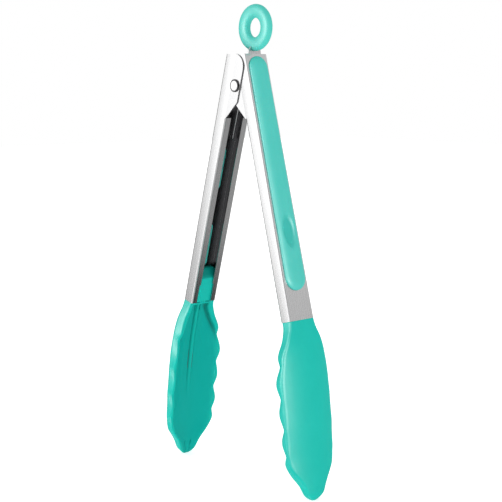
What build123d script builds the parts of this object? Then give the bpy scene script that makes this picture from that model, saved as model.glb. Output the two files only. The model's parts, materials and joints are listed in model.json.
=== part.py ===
"""Spring loaded kitchen tongs: two steel arms on a rivet, silicone grips and heads, a pull ring lock.

The row's origin is the centre of the hole in the pull ring, with the arms hanging down from it.
Every piece is drawn about the pivot first.  A piece of an arm is drawn with its arm hanging straight
down: x is outward to the arm's back, y is across it and z is up, so a place "down" the arm is -z.
"""
import math
import os

from build123d import *

# ---- pose -------------------------------------------------------------------------------------------
OPEN_ANGLE = 14.97          # each arm from the vertical, sprung open
CLOSED_ANGLE = 1.47         # each arm when the heads meet

# ---- steel arms: places are measured down the arm from the pivot, or outward from it ----------------
SHEET = 0.8
BEND_RADIUS = 1.2
ARM_BACK = 14.37            # outer face of the back, outward from the pivot
STEEL_TOP = 18.5            # back edge of the top, above the pivot
STEEL_BOTTOM = 165.5
OUTER_WIDTH = 22.0          # across the outer arm
MOUTH_WIDTH = 22.4          # across either arm at its lower end
EAR_GAP = 0.1               # between an outer ear and an inner ear
EAR_REACH = 4.8             # the ears pass the pivot by this much
EAR_TOP_RADIUS = 8.5
EAR_CORNER = 10.5           # where the ears' front edge turns back, below the pivot
EAR_CORNER_RADIUS = 2.0
NOTCH = 24.3                # where the ears end and the lips begin
NOTCH_FRONT = 3.8
CHANNEL_DEPTH_TOP = 10.3
CHANNEL_DEPTH_BOTTOM = 9.4
LIP = 5.4                   # width of each inturned lip, from the channel's side
MOUTH_LENGTH = 14.0         # the lips are cut back over the head's plug
MOUTH_CUT = 0.9

# ---- rivet ------------------------------------------------------------------------------------------
RIVET_D = 5.0
RIVET_HEAD_D = 8.8
RIVET_HEAD = 0.95
RIVET_EDGE = 0.35           # chamfer round each rivet head
RUNNING_FIT = 0.05          # radial clearance of the rivet in the ears
SEAT = 0.03                 # between the rivet's heads and the outer ears

# ---- torsion spring ---------------------------------------------------------------------------------
WIRE_D = 1.2
WIRE_SIDES = 6              # flats round the wire
COIL_SIDES = 14             # straight runs to each turn of the coil
COIL_CLEAR = 0.5            # inside the coil, around the rivet
COIL_TURNS = 4              # whole turns, and the part turn to where the second leg leaves
COIL_PITCH = 1.6
LEG_REACH = 43.0            # down the arm
LEG_DROP = 15.0             # below the pivot, where a leg turns outward
LEG_BEND = 6.0              # how far from its corner a leg starts to turn
LEG_SPREAD = 7.2            # across the arm, at the leg's tip
WIRE_GAP = 0.2              # between a leg's tip and the steel

# ---- lock bar ---------------------------------------------------------------------------------------
BAR_SHEET = 1.0
BAR_WIDTH = 12.0            # across the folded bar
LOCK_TRAVEL = 8.0
BAR_GAP = 0.35              # between the bar and the arms' backs, arms open
BAR_SIDE_TOP = 1.0          # the folded sides stop this far under the arms' tops
BAR_EDGE = 2.3              # steel round the slot's ends
SLOT_CLEAR = 0.2            # around the rivet in the slot
SHOULDER_DROP = 6.0         # widest place of the bar, below the pivot
BAR_FOOT = 5.0              # half width of its lower edge
BAR_CORNER = 1.5
TONGUE_NECK = 2.6           # height over which the tongue keeps the bar's width, above the arms' tops
TONGUE_TAPER = 0.6
TONGUE_WIDTH = 4.0
TONGUE_LENGTH = 4.5         # moulded into the ring, above its lower edge

# ---- pull ring --------------------------------------------------------------------------------------
RING_OUT = 8.6              # ring's centre, outward of the pivot towards the inner arm
RING_UP = 39.3
RING_D = 31.6
RING_HOLE_D = 13.0
RING_THICK = 6.4
RING_CHAMFER = 1.7
HOLE_CHAMFER = 1.6

# ---- grips ------------------------------------------------------------------------------------------
GRIP_TOP = 16.8             # above the pivot
GRIP_BOTTOM = 145.5
GRIP_TOP_WIDTH = 16.0
GRIP_BOTTOM_WIDTH = 17.6
GRIP_THICK = 3.0
GRIP_CHAMFER = 1.3
THUMB_PLACE = 105.0         # middle of the thumb's dent, below the pivot
THUMB_LENGTH = 24.0
THUMB_WIDTH = 10.0
THUMB_DEPTH = 0.9
LUGS = ((49.4, 79.6), (107.3, 138.9))
LUG_WIDTH = 5.2
LUG_FIT = 0.05
BEAD_WIDTH = 6.6            # the lug's bead inside the channel
BEAD_THICK = 1.1

# ---- heads: stations are measured from the steel's lower end ----------------------------------------
HEAD_LENGTH = 122.5
CROWN_HALF = 22.5           # the back is an arc across, drawn as flats out to here on each side
CROWN_DROP = 6.0            # it falls this far from its middle to there
CROWN_FLATS = 6
DISH_FLOOR = 3.2            # silicone and insert between the dish and the back
DISH_LENGTH = 113.5
RIB_WIDTH = 2.0
RIB_HEIGHT = 1.2
RIB_SHARE = 0.62            # the rib runs down this share of the head
NECK_PLAIN = 12.25          # the rim runs plain for this much at the neck and at the nose
NOSE_PLAIN = 16.75
SCALLOP_START = NECK_PLAIN
SCALLOP_END = HEAD_LENGTH - NOSE_PLAIN
SCALLOP_COUNT = 5
SCALLOP_DEPTH = 1.0         # crest or valley from the mean edge, outward and forward
SCALLOP_PITCH = (SCALLOP_END - SCALLOP_START) / SCALLOP_COUNT
# share of the head's length, half width of the rim
RIM_PLAN = (
    (0.0, 11.2), (0.04, 12.0), (0.1, 14.7), (0.2, 19.0), (0.35, 21.3), (0.55, 21.2), (0.68, 20.9),
    (0.75, 20.4), (0.82, 18.3), (0.88, 12.9), (0.915, 9.8), (0.95, 8.0), (0.98, 5.2), (0.993, 3.0), (1.0, 1.2),
)
# share of the head's length, place of the rim's front edge outward of the pivot
RIM_FRONT = (
    (0.0, 6.0), (0.08, 5.4), (0.2, 3.7), (0.35, 1.0), (0.55, -1.2), (0.74, -4.9), (0.87, -6.6), (1.0, -6.6),
)
# share of the head's length, place of the back's centre line outward of the pivot
BACK_LINE = (
    (0.0, 14.37), (0.1, 14.45), (0.2, 13.9), (0.35, 12.0), (0.55, 9.0), (0.74, 4.9), (0.88, 2.8), (0.95, 0.9),
    (0.98, -1.2), (1.0, -3.4),
)
# share of the dish's length, half width of the dish
DISH_PLAN = (
    (0.03, 4.5), (0.1, 9.0), (0.2, 15.0), (0.37, 17.9), (0.59, 17.7), (0.8, 16.7), (0.9, 12.4), (0.96, 7.6),
    (1.0, 3.0),
)

# ---- plug: the head's upper end, inside the channel -------------------------------------------------
PLUG_LENGTH = 20.0
PLUG_FIT = 0.05
PLUG_TONGUE = 5.6           # runs on up the channel from the plug
PLUG_TONGUE_WIDTH = 12.0
PLUG_TONGUE_STEP = 2.3      # its face lies this far behind the plug's

# ---- stiff insert in each head ----------------------------------------------------------------------
CORE_COVER = 1.0            # silicone over the insert's back
CORE_THICK = 1.2
CORE_MARGIN = 3.0           # inside the dish's edge
CORE_SHARE = 0.88           # the insert ends at this share of the dish's length
TANG_WIDTH = 9.0
TANG_ROOT = 10.0            # the tang runs on into the head by this much

FAR = 60.0                  # reach of cutting bodies
BORE = RIVET_D / 2 + RUNNING_FIT
INNER_WIDTH = OUTER_WIDTH - 2 * SHEET - 2 * EAR_GAP
SLOPE = math.tan(math.radians(OPEN_ANGLE))


# ---- small tools ------------------------------------------------------------------------------------
def along(table, station):
    """Read a table of (place, value) between its points."""
    if station <= table[0][0]:
        return table[0][1]
    for (low, first), (high, second) in zip(table, table[1:]):
        if station <= high:
            return first + (second - first) * (station - low) / (high - low)
    return table[-1][1]


def side_solid(face, width):
    """Extrude an outline drawn in x and z across the arm."""
    return extrude(Plane.XZ * face, amount=width / 2, both=True)


def rounded_outline(points, radii):
    """A closed outline with its own radius at each corner; a radius of 0 leaves it sharp."""
    face = Polygon(*points, align=None)
    for point, radius in zip(points, radii):
        if radius:
            corner = face.vertices().sort_by_distance((*point, 0))[0]
            face = fillet(corner, radius)
    return face


def on_arm(piece, side):
    """Swing a piece of an arm to the open pose; side is 1 for the inner arm and -1 for the outer."""
    opened = Rot(0, -OPEN_ANGLE, 0) * piece
    if side < 0:
        opened = Rot(0, 0, 180) * opened
    return opened


def in_row(piece):
    """Move a piece from the pivot's frame to the ring's."""
    return Pos(-RING_OUT, 0, -RING_UP) * piece


# ---- steel arms -------------------------------------------------------------------------------------
def sheet_section(width, front, inset):
    """The folded sheet's outline, its outside at inset 0 and its inside at inset SHEET."""
    depth = ARM_BACK - front - 2 * inset
    middle = (ARM_BACK + front) / 2
    return Pos(middle, 0) * RectangleRounded(depth, width - 2 * inset, BEND_RADIUS - inset)


def channel_levels(top_width, inset):
    """Sections of the lipped channel at its upper and lower ends."""
    upper = Pos(0, 0, -NOTCH) * sheet_section(top_width, ARM_BACK - CHANNEL_DEPTH_TOP, inset)
    lower = Pos(0, 0, -STEEL_BOTTOM) * sheet_section(MOUTH_WIDTH, ARM_BACK - CHANNEL_DEPTH_BOTTOM, inset)
    return upper, lower


def width_at(down, top_width):
    """Width of an arm below the notch."""
    share = (down - NOTCH) / (STEEL_BOTTOM - NOTCH)
    return top_width + (MOUTH_WIDTH - top_width) * share


def lip_gap(start, end, top_width, lip):
    """Cuts the front open between the lips."""
    levels = []
    for down in (start, end):
        width = width_at(down, top_width) - 2 * lip
        levels.append(Pos(0, 0, -down) * Rectangle(ARM_BACK, width, align=(Align.CENTER, Align.CENTER)))
    return loft(levels)


def lipped_channel(top_width):
    """The channel below the ears, with its inturned lips."""
    mouth = STEEL_BOTTOM - MOUTH_LENGTH
    channel = loft(channel_levels(top_width, 0)) - loft(channel_levels(top_width, SHEET))
    channel -= lip_gap(NOTCH, mouth, top_width, LIP)
    channel -= lip_gap(mouth, STEEL_BOTTOM, top_width, LIP - MOUTH_CUT)
    return channel


def ear_outline():
    """Side view of the ears; the top is level when the arms are open."""
    back = ARM_BACK + SHEET
    top_back = STEEL_TOP - SHEET * SLOPE
    top_front = STEEL_TOP + (ARM_BACK + EAR_REACH) * SLOPE
    points = (
        (back, top_back),
        (-EAR_REACH, top_front),
        (-EAR_REACH, -EAR_CORNER),
        (NOTCH_FRONT, -NOTCH),
        (back, -NOTCH),
    )
    return rounded_outline(points, (0, EAR_TOP_RADIUS, EAR_CORNER_RADIUS, 0, 0))


def eared_channel(width):
    """The open channel round the pivot, whose sides are the ears."""
    reach = -EAR_REACH - 2 * BEND_RADIUS
    height = STEEL_TOP + (ARM_BACK + EAR_REACH) * SLOPE + NOTCH
    outside = extrude(Pos(0, 0, -NOTCH) * sheet_section(width, reach, 0), amount=height)
    inside = extrude(Pos(0, 0, -NOTCH) * sheet_section(width, reach, SHEET), amount=height)
    ears = (outside - inside) & side_solid(ear_outline(), 2 * width)
    return ears - Rot(90, 0, 0) * Cylinder(BORE, 2 * width)


def lug_slot(start, end, width, thick):
    """A round-ended block through the back, for a slot, a lug or its bead."""
    middle = Pos(ARM_BACK - SHEET, 0, -(start + end) / 2)
    outline = Rot(0, 90, 0) * SlotOverall(end - start, width)
    return middle * extrude(outline, amount=thick)


def arm_channel(top_width):
    """One pressed steel arm."""
    arm = eared_channel(top_width) + lipped_channel(top_width)
    for start, end in LUGS:
        slot = lug_slot(start, end, LUG_WIDTH, 2 * SHEET)
        arm -= Pos(-SHEET / 2, 0, 0) * slot
    return arm


# ---- grip -------------------------------------------------------------------------------------------
def grip():
    """The silicone pad on an arm's back, with its two lugs and their beads."""
    top = Pos(GRIP_TOP - GRIP_TOP_WIDTH / 2, 0) * Circle(GRIP_TOP_WIDTH / 2)
    bottom = Pos(GRIP_BOTTOM_WIDTH / 2 - GRIP_BOTTOM, 0) * Circle(GRIP_BOTTOM_WIDTH / 2)
    outline = make_hull((top + bottom).edges())
    facing = Plane(origin=(ARM_BACK, 0, 0), x_dir=(0, 0, 1), z_dir=(1, 0, 0))
    pad = extrude(facing * outline, amount=GRIP_THICK)
    rim = pad.faces().sort_by(Axis.X)[-1].edges()
    pad = chamfer(rim, GRIP_CHAMFER)
    dent = Plane(origin=(ARM_BACK + GRIP_THICK, 0, -THUMB_PLACE), x_dir=(0, 0, 1), z_dir=(1, 0, 0))
    pad -= extrude(dent * SlotOverall(THUMB_LENGTH, THUMB_WIDTH), amount=-THUMB_DEPTH)
    for start, end in LUGS:
        pad += lug_slot(start + LUG_FIT, end - LUG_FIT, LUG_WIDTH - 2 * LUG_FIT, SHEET)
        extra = (BEAD_WIDTH - LUG_WIDTH) / 2
        pad += Pos(-BEAD_THICK, 0, 0) * lug_slot(start - extra, end + extra, BEAD_WIDTH, BEAD_THICK)
    return pad


# ---- head -------------------------------------------------------------------------------------------
def scallop(station):
    """How far the rim stands out of its mean edge at a station."""
    if not SCALLOP_START < station < SCALLOP_END:
        return 0.0
    half = SCALLOP_PITCH / 2
    fade = min(1.0, (station - SCALLOP_START) / half, (SCALLOP_END - station) / half)
    return -SCALLOP_DEPTH * fade * math.cos(2 * math.pi * (station - SCALLOP_START) / SCALLOP_PITCH)


def rim_stations():
    """Stations of the rim: those of its plan at the ends, and four to each scallop between them."""
    step = SCALLOP_PITCH / 4
    between = [SCALLOP_START + step * i for i in range(4 * SCALLOP_COUNT + 1)]
    ends = [share * HEAD_LENGTH for share, _ in RIM_PLAN]
    ends = [s for s in ends if s < SCALLOP_START - step / 4 or s > SCALLOP_END + step / 4]
    return sorted(ends + between)


def plan_solid(side_points):
    """A block with a symmetric outline, from its half widths down one side."""
    near = [(-STEEL_BOTTOM - s, half) for s, half in side_points]
    far = [(z, -half) for z, half in reversed(near)]
    plane = Plane(origin=(-FAR, 0, 0), x_dir=(0, 0, 1), z_dir=(1, 0, 0))
    outline = plane * Polygon(*near, *far, align=None)
    return extrude(outline, amount=2 * FAR)


def rim_blank():
    """The head's plan, scalloped down both sides."""
    return plan_solid([(s, along(RIM_PLAN, s / HEAD_LENGTH) + scallop(s)) for s in rim_stations()])


def front_blank():
    """Everything behind the rim's scalloped front edge."""
    edge = [(along(RIM_FRONT, s / HEAD_LENGTH) - scallop(s), -STEEL_BOTTOM - s) for s in rim_stations()]
    end = edge[-1][1] - SHEET
    points = edge + [(edge[-1][0], end), (FAR, end), (FAR, edge[0][1])]
    return side_solid(Polygon(*points, align=None), 2 * FAR)


def crown(cover):
    """Everything in front of the back surface, moved forward by cover."""
    levels = []
    radius = (CROWN_HALF**2 + CROWN_DROP**2) / (2 * CROWN_DROP)
    across = [CROWN_HALF * (2 * i / CROWN_FLATS - 1) for i in range(CROWN_FLATS + 1)]
    for share, place in BACK_LINE:
        back = place - cover
        points = [(back - radius + math.sqrt(radius**2 - y**2), y) for y in across]
        points += [(-FAR, CROWN_HALF), (-FAR, -CROWN_HALF)]
        level = Pos(0, 0, -STEEL_BOTTOM - share * HEAD_LENGTH)
        levels.append(level * Polygon(*points, align=None))
    return loft(levels, ruled=True)


def plug():
    """The part of the head that fills the channel's lower end."""
    start = STEEL_BOTTOM - PLUG_LENGTH
    front = ARM_BACK - CHANNEL_DEPTH_BOTTOM + SHEET + PLUG_FIT
    levels = []
    for down in (start, STEEL_BOTTOM):
        width = width_at(down, INNER_WIDTH) - 2 * SHEET - 2 * PLUG_FIT
        depth = ARM_BACK - SHEET - PLUG_FIT - front
        middle = (ARM_BACK - SHEET - PLUG_FIT + front) / 2
        section = Pos(middle, 0) * RectangleRounded(depth, width, BEND_RADIUS - SHEET)
        levels.append(Pos(0, 0, -down) * section)
    tongue_front = front + PLUG_TONGUE_STEP
    thick = ARM_BACK - SHEET - PLUG_FIT - tongue_front
    facing = Plane(origin=(tongue_front, 0, PLUG_TONGUE - start), x_dir=(0, 0, -1), z_dir=(1, 0, 0))
    shape = SlotOverall(2 * PLUG_TONGUE_WIDTH, PLUG_TONGUE_WIDTH, align=(Align.MIN, Align.CENTER))
    return loft(levels) + extrude(facing * shape, amount=thick)


def head_core():
    """The nylon insert: a curved plate in the head and a tang up the plug."""
    inset = [(share * DISH_LENGTH, half - CORE_MARGIN) for share, half in DISH_PLAN if share < CORE_SHARE]
    inset.append((CORE_SHARE * DISH_LENGTH, along(DISH_PLAN, CORE_SHARE) - 2 * CORE_MARGIN))
    plate = plan_solid(inset) & (crown(CORE_COVER) - crown(CORE_COVER + CORE_THICK))
    tang_back = ARM_BACK - SHEET - CORE_COVER
    start = -STEEL_BOTTOM + PLUG_LENGTH
    tang = Pos(tang_back - CORE_THICK, 0, start) * Box(
        CORE_THICK, TANG_WIDTH, PLUG_LENGTH + TANG_ROOT, align=(Align.MIN, Align.CENTER, Align.MAX)
    )
    return plate + tang


def head(core):
    """The silicone head: scalloped rim, crowned back, dish with a rib, and plug."""
    blank = rim_blank() & front_blank() & crown(0)
    dish = plan_solid([(share * DISH_LENGTH, half) for share, half in DISH_PLAN]) & crown(DISH_FLOOR)
    rib = Pos(0, 0, -STEEL_BOTTOM) * Box(
        2 * FAR, RIB_WIDTH, RIB_SHARE * HEAD_LENGTH, align=(Align.CENTER, Align.CENTER, Align.MAX)
    )
    dish -= rib - crown(DISH_FLOOR + RIB_HEIGHT)
    return blank - dish + plug() - core


# ---- pivot ------------------------------------------------------------------------------------------
def pivot_rivet():
    """Shank and two low heads."""
    half = OUTER_WIDTH / 2 + SEAT
    shank = Rot(90, 0, 0) * Cylinder(RIVET_D / 2, 2 * half)
    cap = Cylinder(RIVET_HEAD_D / 2, RIVET_HEAD, align=(Align.CENTER, Align.CENTER, Align.MIN))
    cap = chamfer(cap.faces().sort_by(Axis.Z)[-1].edges(), RIVET_EDGE)
    near = Pos(0, -half, 0) * Rot(90, 0, 0) * cap
    far = Pos(0, half, 0) * Rot(-90, 0, 0) * cap
    return shank + near + far


def leg_tip():
    """Where the inner arm's leg ends, on the inside of the arm's back, in the pivot's frame."""
    angle = math.radians(OPEN_ANGLE)
    outward = ARM_BACK - SHEET - WIRE_D / 2 - WIRE_GAP
    x = outward * math.cos(angle) + LEG_REACH * math.sin(angle)
    z = outward * math.sin(angle) - LEG_REACH * math.cos(angle)
    return x, z


def half_wire():
    """Corners of half the spring's line: from the middle of the coil to its end, then down the inner arm."""
    radius = RIVET_D / 2 + COIL_CLEAR + WIRE_D / 2
    tip_x, tip_z = leg_tip()
    leaves = math.atan2(tip_z, tip_x) + math.acos(radius / math.hypot(tip_x, tip_z))
    turns = (COIL_TURNS + (math.pi - 2 * leaves) / (2 * math.pi)) / 2
    runs = round(turns * COIL_SIDES)
    line = []
    for i in range(runs + 1):
        turn = turns * (1 - i / runs)
        angle = leaves + 2 * math.pi * turn
        line.append(Vector(radius * math.cos(angle), (turn - turns) * COIL_PITCH, radius * math.sin(angle)))
    start = line[-1]
    share = (start.Z + LEG_DROP) / (start.Z - tip_z)
    corner = Vector(start.X + share * (tip_x - start.X), start.Y, -LEG_DROP)
    tip = Vector(tip_x, -LEG_SPREAD, tip_z)
    before = corner + (start - corner).normalized() * LEG_BEND
    after = corner + (tip - corner).normalized() * LEG_BEND
    turning = (before + corner * 2 + after) / 4
    return line + [before, turning, after, tip]


def torsion_spring():
    """A close coil round the rivet; one leg runs from each end to the inside of an arm's back."""
    half = half_wire()
    other = [Vector(-point.X, -point.Y, point.Z) for point in half]
    line = other[:0:-1] + half
    levels = []
    for i, point in enumerate(line):
        ahead = line[min(i + 1, len(line) - 1)] - line[max(i - 1, 0)]
        side = Vector(0, 1, 0).cross(ahead)
        place = Plane(origin=point, x_dir=side, z_dir=ahead)
        levels.append(place * RegularPolygon(WIRE_D / 2, WIRE_SIDES))
    return loft(levels, ruled=True)


def back_face(height, angle):
    """How far out the inside of an arm's back stands at a height, with the arm at an angle."""
    turned = math.radians(angle)
    return (ARM_BACK - SHEET) / math.cos(turned) - height * math.tan(turned)


def lock_bar():
    """A folded slider: a web towards the inner arm, two slotted sides, and a tongue up into the ring."""
    arms_top = ARM_BACK * math.sin(math.radians(OPEN_ANGLE)) + STEEL_TOP * math.cos(math.radians(OPEN_ANGLE))
    top = arms_top - BAR_SIDE_TOP
    bottom = LOCK_TRAVEL + RIVET_D / 2 + SLOT_CLEAR + BAR_EDGE
    web_end = RIVET_D / 2 + COIL_CLEAR + 2 * WIRE_D
    half = back_face(arms_top, OPEN_ANGLE) - BAR_GAP
    step = back_face(web_end + LOCK_TRAVEL, OPEN_ANGLE) - BAR_GAP
    shoulder = back_face(LOCK_TRAVEL - SHOULDER_DROP, OPEN_ANGLE) - BAR_GAP
    shoulder = min(shoulder, back_face(LOCK_TRAVEL - SHOULDER_DROP, CLOSED_ANGLE) - BAR_GAP)
    outline = ((shoulder, -SHOULDER_DROP), (step, web_end), (half, web_end), (half, top))
    points = ((BAR_FOOT, -bottom),) + outline
    points += tuple((-x, z) for x, z in reversed(points))
    corner = (BAR_CORNER, BAR_CORNER, BAR_CORNER / 2, 0, 0)
    sides = side_solid(rounded_outline(points, corner + corner[::-1]), BAR_WIDTH)
    outer = Pos(half - FAR, 0) * RectangleRounded(2 * FAR, BAR_WIDTH, BAR_CORNER)
    inner = Pos(half - FAR, 0) * RectangleRounded(
        2 * (FAR - BAR_SHEET), BAR_WIDTH - 2 * BAR_SHEET, BAR_CORNER - BAR_SHEET
    )
    folded = Pos(0, 0, web_end) * extrude(outer - inner, amount=top - web_end)
    flat = Pos(0, 0, web_end) * Box(
        2 * FAR, BAR_WIDTH, 2 * FAR, align=(Align.CENTER, Align.CENTER, Align.MAX)
    )
    flat -= Box(4 * FAR, BAR_WIDTH - 2 * BAR_SHEET, 4 * FAR)
    bar = sides & (folded + flat)
    slot = Pos(0, 0, -LOCK_TRAVEL / 2) * Rot(90, 0, 0) * Rot(0, 0, 90) * extrude(
        SlotOverall(LOCK_TRAVEL + RIVET_D + 2 * SLOT_CLEAR, RIVET_D + 2 * SLOT_CLEAR), FAR, both=True
    )
    return bar - slot + tongue(half, top, arms_top)


def tongue(face, start, arms_top):
    """The web drawn up past the arms, narrowing where the ring is moulded round it."""
    wide = BAR_WIDTH / 2
    narrow = TONGUE_WIDTH / 2
    neck = arms_top + TONGUE_NECK
    end = RING_UP - RING_D / 2 + TONGUE_LENGTH
    points = ((wide, start), (wide - TONGUE_TAPER, neck), (narrow, neck + wide - narrow - TONGUE_TAPER))
    points += ((narrow, end),)
    points += tuple((-y, z) for y, z in reversed(points))
    plane = Plane(origin=(face, 0, 0), x_dir=(0, 1, 0), z_dir=(1, 0, 0))
    return extrude(plane * Polygon(*points, align=None), amount=-BAR_SHEET)


def pull_ring():
    """A thick ring, chamfered round its rim and its hole."""
    inner = RING_HOLE_D / 2
    outer = RING_D / 2
    half = RING_THICK / 2
    points = ((inner, -half), (outer, -half), (outer, half), (inner, half))
    section = Polygon(*points, align=None)
    section = chamfer(section.vertices().sort_by(Axis.X)[:2], HOLE_CHAMFER)
    section = chamfer(section.vertices().sort_by(Axis.X)[-2:], RING_CHAMFER)
    return Pos(RING_OUT, 0, RING_UP) * revolve(section, Axis.Y)


# ---- the whole object -------------------------------------------------------------------------------
def build():
    """Every node by name, in the pivot's frame, at rest: arms open, ring pushed in."""
    core = head_core()
    bar = lock_bar()
    nodes = {
        "pivot_rivet": pivot_rivet(),
        "torsion_spring": torsion_spring(),
        "lock_bar": bar,
        "pull_ring": pull_ring() - bar,
    }
    arm_pieces = {"grip": grip(), "head": head(core), "head_core": core}
    for name, side, width in (("outer", -1, OUTER_WIDTH), ("inner", 1, INNER_WIDTH)):
        nodes[f"{name}_arm_channel"] = on_arm(arm_channel(width), side)
        for piece, solid in arm_pieces.items():
            nodes[f"{name}_{piece}"] = on_arm(solid, side)
    return nodes


if __name__ == "__main__":
    os.makedirs("parts", exist_ok=True)
    for node, piece in build().items():
        export_step(in_row(piece), f"parts/{node}.step")
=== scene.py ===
# %% [markdown]
# # Spring loaded kitchen tongs
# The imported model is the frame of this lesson: every piece below takes its place from it.
# The arms, the rivet and the lock bar are rigid steel, so their solids stay and get a finish.
# The silicone heads and grips, the ring and the spring are round all over, so they are modelled again here.

# %% Load the frame
import json
import math

import bpy
from mathutils import Matrix, Vector

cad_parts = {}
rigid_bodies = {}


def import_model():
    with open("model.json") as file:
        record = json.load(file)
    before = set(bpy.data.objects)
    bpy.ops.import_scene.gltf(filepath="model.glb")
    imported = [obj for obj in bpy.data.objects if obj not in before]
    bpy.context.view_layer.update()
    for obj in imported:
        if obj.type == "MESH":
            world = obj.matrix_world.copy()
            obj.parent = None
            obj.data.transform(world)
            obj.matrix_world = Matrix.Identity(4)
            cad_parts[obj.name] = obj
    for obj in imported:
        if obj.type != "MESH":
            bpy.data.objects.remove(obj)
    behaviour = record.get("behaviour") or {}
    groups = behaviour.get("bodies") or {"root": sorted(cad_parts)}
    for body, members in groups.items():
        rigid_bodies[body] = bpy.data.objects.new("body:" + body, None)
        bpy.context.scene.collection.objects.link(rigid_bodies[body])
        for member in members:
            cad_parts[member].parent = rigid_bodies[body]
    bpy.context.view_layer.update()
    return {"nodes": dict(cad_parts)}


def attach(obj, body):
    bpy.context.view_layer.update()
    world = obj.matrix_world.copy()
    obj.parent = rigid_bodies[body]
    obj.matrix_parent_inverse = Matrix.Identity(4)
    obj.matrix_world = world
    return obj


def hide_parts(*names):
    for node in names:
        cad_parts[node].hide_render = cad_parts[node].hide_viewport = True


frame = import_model()
nodes = frame["nodes"]
bpy.ops.object.select_all(action="DESELECT")
print("nodes:", ", ".join(sorted(nodes)))

# %% [markdown]
# ## Where things are
# The row's origin is the centre of the ring's hole, and the arms hang down from the pivot below it.
# A piece of an arm is easier to draw with the arm hanging straight down from the pivot: v is outward to the
# arm's back, w is across it, and "down" is measured along it. One matrix for each arm then swings the piece
# to its place. The outer arm's matrix is the inner arm's turned half a turn, so nothing is turned inside out.

# %% Real sizes, in millimetres
MM = 0.001
OPEN_ANGLE = 14.97
RING_OUT = 8.6
RING_UP = 39.3
ARM_BACK = 14.37
STEEL_BOTTOM = 165.5
pivot = Vector((-RING_OUT, 0, -RING_UP)) * MM


def arm_matrix(side):
    """From an arm's own frame, in millimetres, to the row: side is 1 for the inner arm, -1 for the outer."""
    swing = Matrix.Rotation(math.radians(-OPEN_ANGLE), 4, "Y")
    half_turn = Matrix.Rotation(0 if side > 0 else math.pi, 4, "Z")
    return Matrix.Translation(pivot) @ half_turn @ swing @ Matrix.Scale(MM, 4)


ARMS = {"outer": arm_matrix(-1), "inner": arm_matrix(1)}
print("pivot at", [round(c, 4) for c in pivot])

# %% Read a table along a smooth curve
def along(table, station):
    """Value of a table of (station, value) at a station, with no overshoot between its points."""
    if station <= table[0][0]:
        return table[0][1]
    if station >= table[-1][0]:
        return table[-1][1]
    steps = [(b[1] - a[1]) / (b[0] - a[0]) for a, b in zip(table, table[1:])]
    slopes = [steps[0]]
    for before, after in zip(steps, steps[1:]):
        slopes.append(0 if before * after <= 0 else 2 * before * after / (before + after))
    slopes.append(steps[-1])
    i = max(k for k, (place, _) in enumerate(table) if place <= station)
    (low, first), (high, second) = table[i], table[i + 1]
    span = high - low
    t = (station - low) / span
    value = (2 * t**3 - 3 * t**2 + 1) * first + (t**3 - 2 * t**2 + t) * span * slopes[i]
    return value + (3 * t**2 - 2 * t**3) * second + (t**3 - t**2) * span * slopes[i + 1]


# %% Wrap a grid round rows of points
def wrapped(name, rows, matrix=None):
    """A closed skin through rows of points: a grid is added, its points are moved, and its seam is merged."""
    around = len(rows[0])
    bpy.ops.object.select_all(action="DESELECT")
    bpy.ops.mesh.primitive_grid_add(x_subdivisions=around, y_subdivisions=len(rows) - 1, size=1)
    piece = bpy.context.object
    piece.name = name
    points = [row[i % around] for row in rows for i in range(around + 1)]
    for vertex, point in zip(piece.data.vertices, points):
        vertex.co = point
    bpy.ops.object.mode_set(mode="EDIT")
    bpy.ops.mesh.select_all(action="SELECT")
    bpy.ops.mesh.remove_doubles(threshold=0.0005)
    bpy.ops.mesh.select_all(action="DESELECT")
    bpy.ops.mesh.select_non_manifold(extend=False)
    bpy.ops.mesh.edge_face_add()
    bpy.ops.mesh.select_all(action="SELECT")
    bpy.ops.mesh.normals_make_consistent(inside=False)
    bpy.ops.object.mode_set(mode="OBJECT")
    bpy.ops.object.shade_smooth()
    if matrix is not None:
        piece.data.transform(matrix)
    return piece


def rounded(corner, before, after, radius, steps):
    """Points of a rounded corner between the directions of its two neighbours."""
    corner, before, after = Vector(corner), Vector(before), Vector(after)
    reach = min(radius, 0.48 * (before - corner).length, 0.48 * (after - corner).length)
    start = corner + (before - corner).normalized() * reach
    end = corner + (after - corner).normalized() * reach
    turns = [k / (steps - 1) for k in range(steps)]
    return [start * (1 - t) ** 2 + corner * 2 * t * (1 - t) + end * t**2 for t in turns]

# %% [markdown]
# ## Materials
# A colour is written as it is seen on a screen, and one function turns it to the linear value a shader needs.
# Each finish is built from nodes, and one small function adds a node with its settings and its links.

# %% Colour and node helpers
def seen(hex_colour):
    """Linear RGBA of an sRGB hex colour."""
    channels = [int(hex_colour[i:i + 2], 16) / 255 for i in (1, 3, 5)]
    linear = [c / 12.92 if c <= 0.04045 else ((c + 0.055) / 1.055) ** 2.4 for c in channels]
    return (*linear, 1.0)


def add(tree, kind, settings=None, values=None, links=None):
    """Add a node: settings go to the node itself, values and links to its sockets."""
    node = tree.nodes.new(kind)
    for name, value in (settings or {}).items():
        setattr(node, name, value)
    for name, value in (values or {}).items():
        node.inputs[name].default_value = value
    for name, source in (links or {}).items():
        tree.links.new(source, node.inputs[name])
    return node


def new_material(name):
    """An empty node material and its tree."""
    material = bpy.data.materials.new(name)
    material.use_nodes = True
    material.node_tree.nodes.clear()
    return material, material.node_tree
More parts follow.
